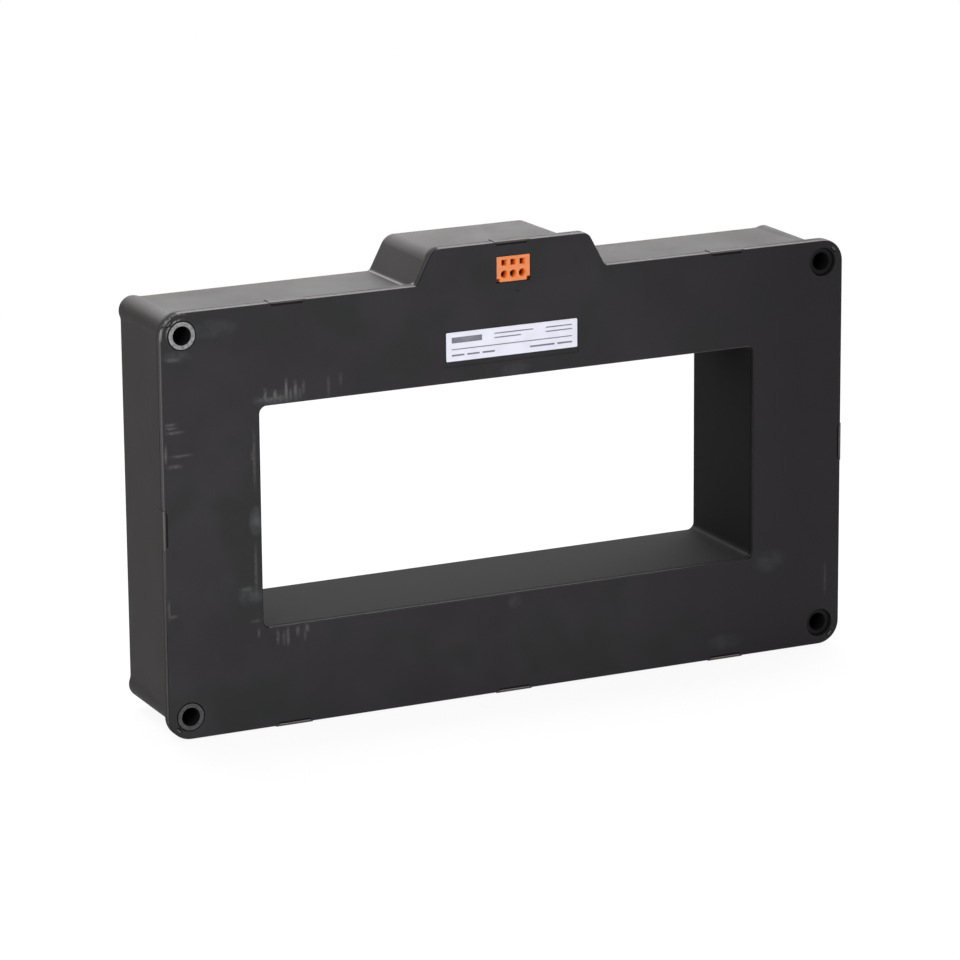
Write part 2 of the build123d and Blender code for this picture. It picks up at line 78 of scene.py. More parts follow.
# Studio
WHITE = (1.0, 1.0, 1.0, 1.0)
FLOOR_SIZE = 24.0
FLOOR_COLOUR = (0.82, 0.82, 0.82, 1.0)
FLOOR_ROUGH = 0.9
FLOOR_WHITE_NEAR = 0.9          # share of plain white that the camera sees beside the object
FLOOR_WHITE_FAR = 1.0           # the same out from it
FLOOR_NEAR = 0.35
FLOOR_FAR = 0.9
WORLD_FILL = 0.27               # even light from all round
# Soft boxes, all aimed at the window: place, width, height, watts
SOFTBOXES = {
    "top_softbox": ((-0.3, 0.2, 1.7), 1.6, 1.2, 16.0),
    "rear_softbox": ((0.22, 0.5, 0.62), 1.5, 0.6, 16.2),
    "front_softbox": ((-0.95, -0.75, 0.62), 0.8, 0.8, 12.0),
}

# Colours, linear
BLACK = (0.0262, 0.0238, 0.0262, 1.0)
BLACK_LIGHT = (0.0315, 0.0298, 0.0322, 1.0)
BLACK_COOL = (0.0245, 0.0249, 0.0258, 1.0)
# Painted shade towards the front's right side
BLACK_RIGHT_SHADE = (0.0193, 0.0176, 0.0193, 1.0)
BLACK_WALL = (0.0123, 0.0104, 0.0101, 1.0)
BLACK_WALL_LIGHT = (0.0168, 0.0143, 0.0138, 1.0)
# Painted shade inside the tunnel
BLACK_TUNNEL_SHADE = (0.008, 0.0073, 0.0074, 1.0)
# Painted shade: holes, the tunnel's side walls, the window's joint and the bush bores
BLACK_SHADE = (0.003, 0.003, 0.003, 1.0)
# Painted highlight in the tunnel's lower corners
TUNNEL_CORNER_HIGHLIGHT = (0.022, 0.0208, 0.0208, 1.0)
SCUFF = (0.2, 0.194, 0.19, 1.0)
SMUDGE = (0.165, 0.184, 0.194, 1.0)
# Painted highlight of edges, the tower's foot and the tower's top
EDGE_HIGHLIGHT = (0.12, 0.116, 0.114, 1.0)
# Painted highlights of edges: soft, and on edges that face up
EDGE_HIGHLIGHT_SOFT = (0.074, 0.071, 0.071, 1.0)
EDGE_HIGHLIGHT_TOP = (0.27, 0.262, 0.258, 1.0)
# Painted highlight on the hooks' front faces
HOOK_FACE_HIGHLIGHT = (0.075, 0.072, 0.07, 1.0)
ORANGE = (0.8, 0.25, 0.09, 1.0)
ORANGE_WARM = (0.75, 0.22, 0.068, 1.0)
ORANGE_DEEP = (1.0, 0.25, 0.012, 1.0)
LABEL_WHITE = (0.8, 0.8, 0.91, 1.0)
LABEL_SHADE = (0.76, 0.76, 0.865, 1.0)
PRINT_GREY = (0.12, 0.122, 0.15, 1.0)
PRINT_PALE = (0.2, 0.203, 0.24, 1.0)
ZINC = (0.33, 0.33, 0.345, 1.0)
ZINC_WORN = (0.15, 0.15, 0.158, 1.0)
DARK_BUSH = (0.08, 0.077, 0.079, 1.0)
DARK_BUSH_WORN = (0.05, 0.049, 0.05, 1.0)
# Painted shade of the recessed bushes right of the middle
SHADED_BUSH = (0.007, 0.007, 0.007, 1.0)
LAMINATE = (0.35, 0.24, 0.08, 1.0)
LAMINATE_SHADE = (0.3, 0.2, 0.06, 1.0)
TRAY = (0.7, 0.66, 0.57, 1.0)
TRAY_SHADE = (0.64, 0.6, 0.5, 1.0)
WIRE_RED = (0.3, 0.02, 0.015, 1.0)
WIRE_RED_SHADE = (0.24, 0.015, 0.01, 1.0)
FOAM = (0.04, 0.04, 0.04, 1.0)
FOAM_SHADE = (0.025, 0.025, 0.025, 1.0)
COPPER = (0.55, 0.2, 0.07, 1.0)
COPPER_DARK = (0.2, 0.06, 0.02, 1.0)
STRIP = (0.2, 0.2, 0.21, 1.0)
STRIP_LIGHT = (0.32, 0.32, 0.33, 1.0)
TIN = (0.6, 0.56, 0.5, 1.0)
TIN_SHADE = (0.5, 0.46, 0.4, 1.0)
SPRING = (0.4, 0.4, 0.42, 1.0)
SPRING_SHADE = (0.3, 0.3, 0.32, 1.0)

# Levels of a noise between which a change runs from none to full
SOFT = (0.3, 0.7)
CLOUD_LEVELS = (0.35, 0.68)
TINT_LEVELS = (0.52, 0.66)
PALE_LEVELS = (0.35, 0.65)
MOTTLE_LEVELS = (0.35, 0.7)
BREAK_LEVELS = (0.25, 0.6)
ARC_LEVELS = (0.35, 0.6)
PATCH_LEVELS = (0.3, 0.65)


# Shader building

MIX_FIRST = 6                   # sockets of a mix node that carry colours
MIX_SECOND = 7
MIX_RESULT = 2


class Shader:
    """A material under construction, with short calls to add and join its nodes."""

    def __init__(self, name):
        self.material = bpy.data.materials.new(name)
        self.material.use_nodes = True
        self.tree = self.material.node_tree
        self.surface = self.tree.nodes["Principled BSDF"]
        self.place = self.add("ShaderNodeTexCoord").outputs["Object"]
        self.parts = self.add("ShaderNodeSeparateXYZ", {"Vector": self.place}).outputs

    def put(self, socket, value):
        if isinstance(value, bpy.types.NodeSocket):
            self.tree.links.new(value, socket)
        else:
            socket.default_value = value

    def add(self, kind, inputs=None, **settings):
        node = self.tree.nodes.new(kind)
        for name, value in settings.items():
            setattr(node, name, value)
        for name, value in (inputs or {}).items():
            self.put(node.inputs[name], value)
        return node

    def finish(self, **inputs):
        """Sets the surface's inputs, written with _ for a space, and returns the material."""
        for name, value in inputs.items():
            self.put(self.surface.inputs[name.replace("_", " ")], value)
        return self.material

    def math(self, operation, first, second=0.0):
        node = self.add("ShaderNodeMath", operation=operation)
        self.put(node.inputs[0], first)
        self.put(node.inputs[1], second)
        return node.outputs[0]

    def times(self, first, *others):
        for other in others:
            first = self.math("MULTIPLY", first, other)
        return first

    def largest(self, first, *others):
        for other in others:
            first = self.math("MAXIMUM", first, other)
        return first

    def square_sum(self, first, second):
        return self.math("ADD", self.times(first, first), self.times(second, second))

    def length(self, first, second):
        """Straight distance with two given sides."""
        return self.math("SQRT", self.square_sum(first, second))

    def apart(self, first, second):
        """Difference between two values, never below 0."""
        return self.math("ABSOLUTE", self.math("SUBTRACT", first, second))

    def facing(self, axis):
        """The surface normal's part along an axis."""
        normal = self.add("ShaderNodeNewGeometry").outputs["Normal"]
        return self.add("ShaderNodeSeparateXYZ", {"Vector": normal}).outputs[axis]

    def facing_either(self, axis):
        """The same for both ways along the axis, never below 0."""
        return self.math("ABSOLUTE", self.facing(axis))

    def past(self, axis, place):
        """Distance past a place along an axis, below 0 before it."""
        return self.math("SUBTRACT", self.parts[axis], place)

    def away(self, axis, place):
        """Distance from a place along an axis."""
        return self.apart(self.parts[axis], place)

    def near(self, axis, place, inner, outer):
        """1 within a distance of a place along an axis, fading to 0 at a larger distance."""
        return self.span(self.away(axis, place), outer, inner)

    def noise(self, feature, detail=2.0, stretch=(1.0, 1.0, 1.0)):
        """Noise with features of about a stated size, drawn out along the axes with a stretch over 1."""
        node = self.add("ShaderNodeVectorMath", operation="MULTIPLY")
        self.put(node.inputs[0], self.place)
        self.put(node.inputs[1], [1.0 / (feature * share) for share in stretch])
        texture = {"Vector": node.outputs[0], "Scale": 1.0, "Detail": detail}
        return self.add("ShaderNodeTexNoise", texture).outputs["Fac"]

    def span(self, value, low, high, to_low=0.0, to_high=1.0):
        """Carries the range from low to high over to another one, and stops at that one's ends."""
        ends = {"Value": value, "From Min": low, "From Max": high, "To Min": to_low, "To Max": to_high}
        return self.add("ShaderNodeMapRange", ends, clamp=True).outputs["Result"]

    def mix(self, factor, first, second):
        node = self.add("ShaderNodeMix", data_type="RGBA")
        self.put(node.inputs["Factor"], factor)
        self.put(node.inputs[MIX_FIRST], first)
        self.put(node.inputs[MIX_SECOND], second)
        return node.outputs[MIX_RESULT]

    def bump(self, height, depth, strength, under=None):
        inputs = {"Height": height, "Distance": depth, "Strength": strength}
        if under is not None:
            inputs["Normal"] = under
        return self.add("ShaderNodeBump", inputs).outputs["Normal"]

    def grain(self, feature, depth, strength):
        """Fine even bumps."""
        return self.bump(self.noise(feature), depth, strength)


def behind_front(shader, start, full):
    """1 at the second of two depths behind the front, fading to 0 at the first."""
    return shader.span(shader.parts["Y"], FRONT_Y + start, FRONT_Y + full)


def above_middle(shader, start, full):
    """1 at the second of two heights above the window's middle, fading to 0 at the first."""
    return shader.span(shader.parts["Z"], AXIS_Z + start, AXIS_Z + full)


# Wear of the front cover and a painted highlight on the top left hole's rim, with places across and up from
# the window's middle

# Upright strokes: across, lower end, upper end, width, amount
UPRIGHT_STROKES = [
    (-136.8, 58.0, 67.5, 1.3, 0.42),
    (-134.2, 58.2, 62.5, 1.2, 0.22),
    (-131.4, 57.8, 66.0, 1.5, 0.46),
    (-128.6, 58.0, 63.0, 1.3, 0.3),
    (-125.4, 57.8, 71.5, 1.1, 0.55),
    (-123.0, 58.5, 66.0, 1.0, 0.28),
    (-120.4, 58.0, 70.0, 1.4, 0.45),
    (-118.0, 59.0, 66.0, 1.2, 0.2),
    (-116.0, 60.5, 69.5, 1.3, 0.24),
    (-102.4, 58.0, 70.0, 1.3, 0.2),
    (-95.6, 62.0, 71.0, 1.2, 0.15),
    (-190.8, 33.5, 44.5, 1.1, 0.45),
    (-143.4, 13.0, 49.0, 1.2, 0.24),
    (-144.0, 29.0, 36.0, 1.8, 0.28),
    (-143.7, -43.0, -10.0, 1.2, 0.24),
    (-191.0, -48.0, -35.0, 1.0, 0.26),
    (-142.8, -62.5, -56.5, 1.2, 0.24),
    (-132.4, -67.5, -58.0, 1.3, 0.26),
    (-129.2, -68.5, -59.0, 1.2, 0.26),
    (-126.9, -69.0, -57.5, 1.3, 0.4),
    (-121.4, -64.5, -57.8, 1.4, 0.3),
    (-116.2, -63.0, -57.8, 1.5, 0.36),
    (-117.5, -67.5, -60.0, 1.1, 0.2),
    (184.0, -85.0, -63.0, 1.1, 0.14),
]
# Level strokes: up, left end, right end, width, amount
LEVEL_STROKES = [
    (60.7, -144.0, -123.0, 1.9, 0.3),
    (53.8, -191.5, -184.5, 1.1, 0.3),
    (51.9, -191.5, -183.5, 1.1, 0.34),
    (49.6, -191.5, -180.0, 1.1, 0.34),
    (37.4, -190.0, -175.0, 1.1, 0.26),
    (32.2, -191.5, -181.0, 1.5, 0.3),
    (-35.5, -154.0, -145.0, 1.4, 0.18),
    (-44.9, -192.0, -186.0, 1.4, 0.32),
    (-52.9, -148.0, -140.5, 1.2, 0.2),
    (86.4, -190.5, -182.0, 1.4, 0.26),
]
# Soft pale smudges: across, up, reach across, reach up, amount
SMUDGES = [
    (-143.0, -1.0, 4.5, 8.5, 0.28),
    (-146.5, -39.5, 8.0, 6.0, 0.16),
    (-183.5, 88.0, 9.0, 3.5, 0.12),
    (-164.0, 100.0, 14.0, 5.5, 0.09),
    (-130.0, 61.0, 16.0, 5.0, 0.1),
    (0.8, -62.0, 4.5, 4.5, 0.12),
    (2.0, 61.0, 10.0, 4.0, 0.08),
    (150.0, -60.0, 11.0, 7.0, 0.08),
    (124.0, -101.0, 12.0, 5.0, 0.07),
]
# Light arcs about the top left hole, the first a painted highlight on the hole's rim, the second a worn
# ring: inner and outer radius, amount
RIM_HIGHLIGHT_AND_WORN_ARCS = [
    (7.7, 8.8, 1.0),
    (10.4, 12.3, 0.85),
]
# Where an arc starts and is full: 1 is straight up or left of the hole, 1.4 between the two
ARC_RANGE = (0.75, 1.05)
STROKE_CORE = 0.3               # share of a stroke's length that is fully drawn
WOBBLE = 0.15 * MM              # sideways wander of a stroke
BREAK = 1.6 * MM                # size of the breaks in a stroke
PATCH = 5.0 * MM                # size of the patches in a smudge
WEAR_DETAIL = 3.0
BREAK_SHARES = (0.3, 1.0)       # what the breaks leave of a stroke, at their two levels
SMUDGE_SHARES = (0.2, 1.2)      # and the patches of a smudge
FACE_DEPTHS = (1.0 * MM, 0.2 * MM)


def stroke(shader, wandered, along, across, row):
    """Thin light line along one axis of the front, faded at its ends and sides."""
    place, start, end, width, amount = row
    half = (end - start) / 2 * MM
    centre = MIDDLE[along] + (start + end) / 2 * MM
    lengthways = shader.near(along, centre, half * STROKE_CORE, half)
    off = shader.apart(wandered[across], MIDDLE[across] + place * MM)
    return shader.times(shader.span(off, width * MM, 0.0), lengthways, amount)


def smudge(shader, across, up, reach_across, reach_up, amount):
    """Soft oval patch, fullest at its middle."""
    sides = []
    for axis, place, reach in (("X", across, reach_across), ("Z", up, reach_up)):
        sides.append(shader.math("DIVIDE", shader.past(axis, MIDDLE[axis] + place * MM), reach * MM))
    return shader.times(shader.span(shader.square_sum(*sides), 1.0, 0.0), amount)


def arc_mark(shader, inner, outer, amount):
    """Patchy light arc on the upper left side of the top left hole."""
    run = shader.past("X", -HOLE_ACROSS)
    rise = shader.past("Z", AXIS_Z + HOLE_UP)
    distance = shader.length(run, rise)
    middle = (inner + outer) / 2 * MM
    half = (outer - inner) / 2 * MM
    ring = shader.span(shader.apart(distance, middle), half, half / 2)
    slant = shader.math("DIVIDE", shader.math("SUBTRACT", rise, run), distance)
    patches = shader.span(shader.noise(BREAK, WEAR_DETAIL), *ARC_LEVELS)
    return shader.times(ring, shader.span(slant, *ARC_RANGE), patches, amount)


def on_front(shader):
    """1 on the front face, 0 behind it."""
    return behind_front(shader, *FACE_DEPTHS)


def scuff_mask(shader):
    """Light strokes and arcs of the front, as one mask: wear, and a painted highlight on the top left
    hole's rim.
    """
    wander = shader.span(shader.noise(BREAK), *SOFT, -WOBBLE, WOBBLE)
    wandered = {axis: shader.math("ADD", shader.parts[axis], wander) for axis in MIDDLE}
    marks = [stroke(shader, wandered, "Z", "X", row) for row in UPRIGHT_STROKES]
    marks += [stroke(shader, wandered, "X", "Z", row) for row in LEVEL_STROKES]
    # The first arc is a painted highlight on the hole's rim, the second wear
    marks += [arc_mark(shader, *row) for row in RIM_HIGHLIGHT_AND_WORN_ARCS]
    breaks = shader.span(shader.noise(BREAK, WEAR_DETAIL), *BREAK_LEVELS, *BREAK_SHARES)
    return shader.times(shader.largest(*marks), breaks, on_front(shader))


def smudge_mask(shader):
    """Soft pale patches of the front, as one mask."""
    marks = [smudge(shader, *row) for row in SMUDGES]
    patches = shader.span(shader.noise(PATCH, WEAR_DETAIL), *PATCH_LEVELS, *SMUDGE_SHARES)
    return shader.times(shader.largest(*marks), patches, on_front(shader))


# Black plastic: sizes and places

CLOUD = (38.0 * MM, 4.0)        # size of the features and detail
TINT = (33.0 * MM, 1.0)
WAVES = (30.0 * MM, 1.0)
WAVE_BUMP = (0.06 * MM, 0.5)    # height and strength
BLACK_GRAIN = (0.35 * MM, 0.02 * MM, 0.5)       # size, height and strength
BLACK_IOR = 1.2
COVER_ROUGH = (0.56, 0.64)
CASE_ROUGH = (0.54, 0.64)
TUNNEL_ROUGH = 0.83
UPPER_EDGE_SHARE = 0.8          # how far the cover's upper edge takes the painted highlight
EDGE_FADE = 0.2 * MM
RIGHT_SHADE_START = 60.0 * MM               # right of the middle, where painted shade on the front's right side begins
RIGHT_SHADE_FULL = 165.0 * MM
HOOK_DEEP = 3.0 * MM            # depth of the hooks and the cover behind the front
WALL_CLEAR = 2.0 * MM           # from the stated opening's sides to just past the tunnel's walls
WALL_ACROSS = WINDOW_ACROSS + WALL_CLEAR
WALL_UP = WINDOW_UP + WALL_CLEAR
TUNNEL_DEPTHS = (0.6 * MM, 1.0 * MM)
JOINT_W = 1.0 * MM
SEAT_REACH = 7.8 * MM           # hole in the cover and bush seat
SEAT_DEEP = 5.5 * MM
SEAT_SHADE = 0.7                # how dark a seat is beside a bore
HOLE_DEPTHS = (0.1 * MM, 0.5 * MM)
UPRIGHT_LIGHT = 22.0 * MM       # upright edges carry a painted highlight above here and none below the next
UPRIGHT_DARK = -55.0 * MM
OUTSIDE_START = 3.0 * MM        # beyond the stated opening's sides, where the outer edges' painted highlight begins
OUTSIDE_FULL = 6.0 * MM
STREAK_SLANT = 0.32             # painted reflection streak over the tower, across per depth
STREAK_CORE = 2.0 * MM
STREAK_EDGE = 6.0 * MM
STREAK_LOW = 120.0 * MM         # above the window's middle
STREAK_SHARES = (0.3, 1.0)      # what its patches leave
STREAK_AMOUNT = 0.12
FOOT_LOW = 100.0 * MM           # the hollow at the tower's foot, above the window's middle
FOOT_TOP = 112.0 * MM
FOOT_REACH = 100.0 * MM         # and to each side

# Parts of the surface normal along an axis, where a mask is 0 and where it is 1
SIDE_WALL = (0.75, 0.97)
CORNER_START = (0.45, 0.6)
CORNER_END = (0.85, 0.72)
ROUNDING_START = (0.97, 0.85)
ROUNDING_END = (0.1, 0.35)
STRAIGHT = (0.25, 0.12)
LEVEL_TOP = (0.9, 0.98)
TURNED_UP = (0.2, 0.4)
HOOK_FRONT = (-0.9, -0.97)
FOOT_START = (0.99, 0.95)
FOOT_END = (0.7, 0.85)
FOOT_STRAIGHT = (0.3, 0.15)


# Black plastic: masks

def in_window(shader, margin=0.0):
    """1 within the window and a margin around it, at any depth."""
    sides = []
    for axis, wall in (("X", WALL_ACROSS), ("Z", WALL_UP)):
        sides.append(shader.near(axis, MIDDLE[axis], wall + margin, wall + margin + EDGE_FADE))
    return shader.times(*sides)


def in_tunnel(shader):
    """1 on the walls of the window, 0 elsewhere."""
    return shader.times(in_window(shader), behind_front(shader, *TUNNEL_DEPTHS))


def in_tunnel_corner(shader):
    """1 in the tunnel's two lower hollow corners, which face up at a slant, where a highlight is painted.
    """
    upward = shader.facing("Z")
    slanted = shader.times(shader.span(upward, *CORNER_START), shader.span(upward, *CORNER_END))
    return shader.times(in_tunnel(shader), slanted)


def at_dark_joint(shader):
    """1 along the window's lower and left front edges, where a narrow joint lies in shade."""
    lower = above_middle(shader, 2 * JOINT_W - WALL_UP, JOINT_W - WALL_UP)
    left = shader.span(shader.parts["X"], 2 * JOINT_W - WALL_ACROSS, JOINT_W - WALL_ACROSS)
    return shader.times(shader.largest(lower, left), in_window(shader, JOINT_W))


def in_hole(shader):
    """1 in the bores of the corner holes, less in the bush seats, 0 elsewhere: where shade is painted."""
    sides = []
    for axis, reach in (("X", HOLE_ACROSS), ("Z", HOLE_UP)):
        sides.append(shader.math("SUBTRACT", shader.away(axis, MIDDLE[axis]), reach))
    distance = shader.length(*sides)
    bore = shader.span(distance, BORE_R + 2 * EDGE_FADE, BORE_R + EDGE_FADE)
    seat = shader.span(distance, SEAT_REACH, SEAT_REACH - EDGE_FADE)
    shallow = behind_front(shader, SEAT_DEEP, SEAT_DEEP - EDGE_FADE)
    inside = shader.largest(bore, shader.times(seat, shallow, SEAT_SHADE))
    return shader.times(inside, behind_front(shader, *HOLE_DEPTHS))


def near_front(shader):
    """1 in the depth of the cover and the hooks, 0 behind it."""
    return behind_front(shader, HOOK_DEEP, HOOK_DEEP - EDGE_FADE)


def on_rounding(shader):
    """1 on the softened front edges, which face neither the front nor a side."""
    forward = shader.times(shader.facing("Y"), -1.0)
    turned = shader.times(shader.span(forward, *ROUNDING_START), shader.span(forward, *ROUNDING_END))
    return shader.times(turned, near_front(shader))


def runs_along(shader, axis):
    """1 where an edge runs straight along an axis, 0 where it slants or bends."""
    return shader.span(shader.facing_either(axis), *STRAIGHT)


def on_slant(shader):
    """1 on edges near the front that run neither across nor upright, such as the tower's slopes."""
    straight = shader.largest(runs_along(shader, "X"), runs_along(shader, "Z"))
    return shader.times(shader.span(straight, 1.0, 0.0), near_front(shader))


def on_highlit_edge(shader):
    """1 on the straight edges that get a painted highlight: level ones, and outer upright ones high up."""
    outer = shader.span(shader.away("X", 0.0), WINDOW_ACROSS + OUTSIDE_START, WINDOW_ACROSS + OUTSIDE_FULL)
    high = above_middle(shader, UPRIGHT_DARK, UPRIGHT_LIGHT)
    return shader.largest(runs_along(shader, "X"), shader.times(runs_along(shader, "Z"), high, outer))


def on_upper_edge(shader):
    """1 on the level edges that face up, which get the brightest painted highlight."""
    upward = shader.span(shader.facing("Z"), *TURNED_UP)
    return shader.times(on_rounding(shader), runs_along(shader, "X"), upward)


def on_hook_face(shader):
    """1 on the front faces of the hooks, where a highlight is painted."""
    return shader.times(shader.span(shader.facing("Y"), *HOOK_FRONT), near_front(shader))


def on_tower_reflection(shader):
    """1 along a patchy, slanting streak on the top of the tower, where a reflection is painted."""
    off = shader.apart(shader.parts["X"], shader.times(shader.parts["Y"], STREAK_SLANT))
    high = above_middle(shader, STREAK_LOW, STREAK_LOW + EDGE_FADE)
    flat = shader.span(shader.facing("Z"), *LEVEL_TOP)
    patches = shader.span(shader.noise(PATCH, WEAR_DETAIL), *PATCH_LEVELS, *STREAK_SHARES)
    return shader.times(shader.span(off, STREAK_EDGE, STREAK_CORE), high, flat, patches)


def at_tower_foot(shader):
    """1 in the hollow rounding where the tower's flanks rise from the case's top, where a highlight is
    painted.
    """
    upward = shader.facing("Z")
    hollow = shader.times(shader.span(upward, *FOOT_START), shader.span(upward, *FOOT_END))
    low = above_middle(shader, FOOT_TOP, FOOT_TOP - EDGE_FADE)
    raised = above_middle(shader, FOOT_LOW - EDGE_FADE, FOOT_LOW)
    inner = shader.near("X", 0.0, FOOT_REACH, FOOT_REACH + EDGE_FADE)
    straight = shader.span(shader.facing_either("Y"), *FOOT_STRAIGHT)
    return shader.times(hollow, low, raised, inner, straight)


# Black plastic: materials

def finish_black(shader, colour, rough):
    """Paints shade into the tunnel and holes and a highlight into the tunnel's lower corners, dulls the
    slanting edges, adds the grain and returns the material.
    """
    tunnel = in_tunnel(shader)
    sideways = shader.span(shader.facing_either("X"), *SIDE_WALL)
    hole = in_hole(shader)
    # Painted shade: the tunnel is darker than the outside, and its side walls are near black
    colour = shader.mix(tunnel, colour, BLACK_TUNNEL_SHADE)
    colour = shader.mix(shader.times(tunnel, sideways), colour, BLACK_SHADE)
    # Painted highlight along the tunnel's lower hollow corners
    colour = shader.mix(in_tunnel_corner(shader), colour, TUNNEL_CORNER_HIGHLIGHT)
    # Painted shade in the bores and the bush seats
    colour = shader.mix(hole, colour, BLACK_SHADE)
    rough = shader.largest(rough, shader.times(tunnel, TUNNEL_ROUGH), hole, on_slant(shader))
    waves = shader.bump(shader.noise(*WAVES), *WAVE_BUMP, shader.grain(*BLACK_GRAIN))
    return shader.finish(Base_Color=colour, Roughness=rough, Normal=waves, IOR=BLACK_IOR)


def cover_plastic(name):
    """Flat black cover with faint colour clouds, painted highlights and shade on its rounded edges, painted
    shade towards its right side, a painted highlight on the top left hole's rim and the wear of the front.
    """
    shader = Shader(name)
    cloud = shader.noise(*CLOUD)
    tone = shader.mix(shader.span(cloud, *CLOUD_LEVELS), BLACK, BLACK_LIGHT)
    tone = shader.mix(shader.span(shader.noise(*TINT), *TINT_LEVELS), tone, BLACK_COOL)
    # Painted shade: the front grows darker towards its right side
    tone = shader.mix(shader.span(shader.parts["X"], RIGHT_SHADE_START, RIGHT_SHADE_FULL), tone, BLACK_RIGHT_SHADE)
    rounding = on_rounding(shader)
    # Painted highlight on the rounded edges that face the light, and painted shade in the case's darker
    # black on the others
    tone = shader.mix(rounding, tone, shader.mix(on_highlit_edge(shader), BLACK_WALL, EDGE_HIGHLIGHT_SOFT))
    # Painted highlight, brightest on the upper edges that face up
    tone = shader.mix(shader.times(on_upper_edge(shader), UPPER_EDGE_SHARE), tone, EDGE_HIGHLIGHT_TOP)
    tone = shader.mix(shader.times(rounding, at_dark_joint(shader)), tone, BLACK_SHADE)
    tone = shader.mix(smudge_mask(shader), tone, SMUDGE)
    tone = shader.mix(scuff_mask(shader), tone, SCUFF)
    return finish_black(shader, tone, shader.span(cloud, *SOFT, *COVER_ROUGH))


def case_plastic(name):
    """Warm black case with painted highlights on the hook faces, the rounded edges, the upper edges and the
    hollow at the tower's foot, and a painted reflection streak on the tower's top.
    """
    shader = Shader(name)
    cloud = shader.noise(*CLOUD)
    tone = shader.mix(shader.span(cloud, *CLOUD_LEVELS), BLACK_WALL, BLACK_WALL_LIGHT)
    # Painted highlight on the hooks' front faces
    tone = shader.mix(on_hook_face(shader), tone, HOOK_FACE_HIGHLIGHT)
    edges = shader.times(on_rounding(shader), on_highlit_edge(shader))
    # Painted highlight on the rounded edges and in the hollow at the tower's foot
    tone = shader.mix(shader.largest(edges, at_tower_foot(shader)), tone, EDGE_HIGHLIGHT)
    # Painted reflection streak on the tower's top
    tone = shader.mix(shader.times(on_tower_reflection(shader), STREAK_AMOUNT), tone, EDGE_HIGHLIGHT)
    # Painted highlight on the upper edges that face up
    tone = shader.mix(on_upper_edge(shader), tone, EDGE_HIGHLIGHT_TOP)
    return finish_black(shader, tone, shader.span(cloud, *SOFT, *CASE_ROUGH))


# Other materials

# Clouds: size of the features and detail
ORANGE_CLOUD = (4.0 * MM, 3.0)
LABEL_CLOUD = (9.0 * MM, 2.0)
INK_CLOUD = (6.0 * MM, 3.0)
BUSH_CLOUD = (1.2 * MM, 4.0)
PLAIN_CLOUD = (12.0 * MM, 3.0)
# Grain: size, height and strength
ORANGE_GRAIN = (0.25 * MM, 0.015 * MM, 0.4)
LABEL_GRAIN = (0.5 * MM, 0.01 * MM, 0.3)
BUSH_GRAIN = (0.2 * MM, 0.01 * MM, 0.5)
PLAIN_GRAIN = (0.4 * MM, 0.02 * MM, 0.4)
# Roughness over the clouds
ORANGE_ROUGH = (0.36, 0.46)
LABEL_ROUGH = (0.38, 0.48)
INK_ROUGH = (0.42, 0.52)
ORANGE_DEPTHS = (0.4 * MM, 2.0 * MM)    # where the deeper colour begins and is full
BUSH_FACE = (-0.6, -0.95)       # parts of the normal towards the rear, in the bore and on the face
BUSH_ROUGH = (1.0, 0.45)        # the same for roughness
BUSH_IOR = 1.2
TURN_PITCH = 0.9 * MM
TURN_BUMP = (0.15 * MM, 0.8)    # height and strength
COPPER_ROUGH = 0.35
COPPER_METAL = 0.8
STRIP_LINES = (0.5 * MM, 2.0, (1.0, 40.0, 1.0))     # size, detail and stretch
STRIP_BUMP = (0.05 * MM, 0.6)
STRIP_ROUGH = 0.4
STRIP_METAL = 0.9
SHEET_LINES = (0.3 * MM, 3.0, (1.0, 20.0, 1.0))
SHEET_BUMP = (0.01 * MM, 0.5)
SHEET_ROUGH = 0.32


def orange_plastic(name):
    """Bright face, with deeper colour in the holes."""
    shader = Shader(name)
    cloud = shader.noise(*ORANGE_CLOUD)
    face = shader.mix(shader.span(cloud, *SOFT), ORANGE, ORANGE_WARM)
    colour = shader.mix(behind_front(shader, *ORANGE_DEPTHS), face, ORANGE_DEEP)
    rough = shader.span(cloud, *SOFT, *ORANGE_ROUGH)
    return shader.finish(Base_Color=colour, Roughness=rough, Normal=shader.grain(*ORANGE_GRAIN))


def label_film(name):
    """White film with faint clouds."""
    shader = Shader(name)
    cloud = shader.noise(*LABEL_CLOUD)
    colour = shader.mix(shader.span(cloud, *PALE_LEVELS), LABEL_WHITE, LABEL_SHADE)
    rough = shader.span(cloud, *SOFT, *LABEL_ROUGH)
    return shader.finish(Base_Color=colour, Roughness=rough, Normal=shader.grain(*LABEL_GRAIN))


def print_ink(name):
    """Dark grey ink, a little uneven."""
    shader = Shader(name)
    cloud = shader.noise(*INK_CLOUD)
    colour = shader.mix(shader.span(cloud, *SOFT), PRINT_GREY, PRINT_PALE)
    return shader.finish(Base_Color=colour, Roughness=shader.span(cloud, *SOFT, *INK_ROUGH))


def turned_steel(name, colour, worn_colour, metal, right_shade=None):
    """Turned bush with painted shade in its bore; bushes right of the middle may get a painted shade
    colour, which stands in for their shaded recess.
    """
    shader = Shader(name)
    front = shader.span(shader.facing("Y"), *BUSH_FACE)
    face = shader.mix(shader.span(shader.noise(*BUSH_CLOUD), *MOTTLE_LEVELS), colour, worn_colour)
    if right_shade:
        # Painted shade on the recessed bushes right of the middle
        face = shader.mix(shader.math("GREATER_THAN", shader.parts["X"], 0.0), face, right_shade)
    if metal:
        shader.finish(Metallic=shader.times(front, metal))
    # Painted shade in the bore
    tone = shader.mix(front, BLACK_SHADE, face)
    rough = shader.span(front, 0.0, 1.0, *BUSH_ROUGH)
    grain = shader.grain(*BUSH_GRAIN)
    return shader.finish(Base_Color=tone, Roughness=rough, Normal=grain, IOR=BUSH_IOR)


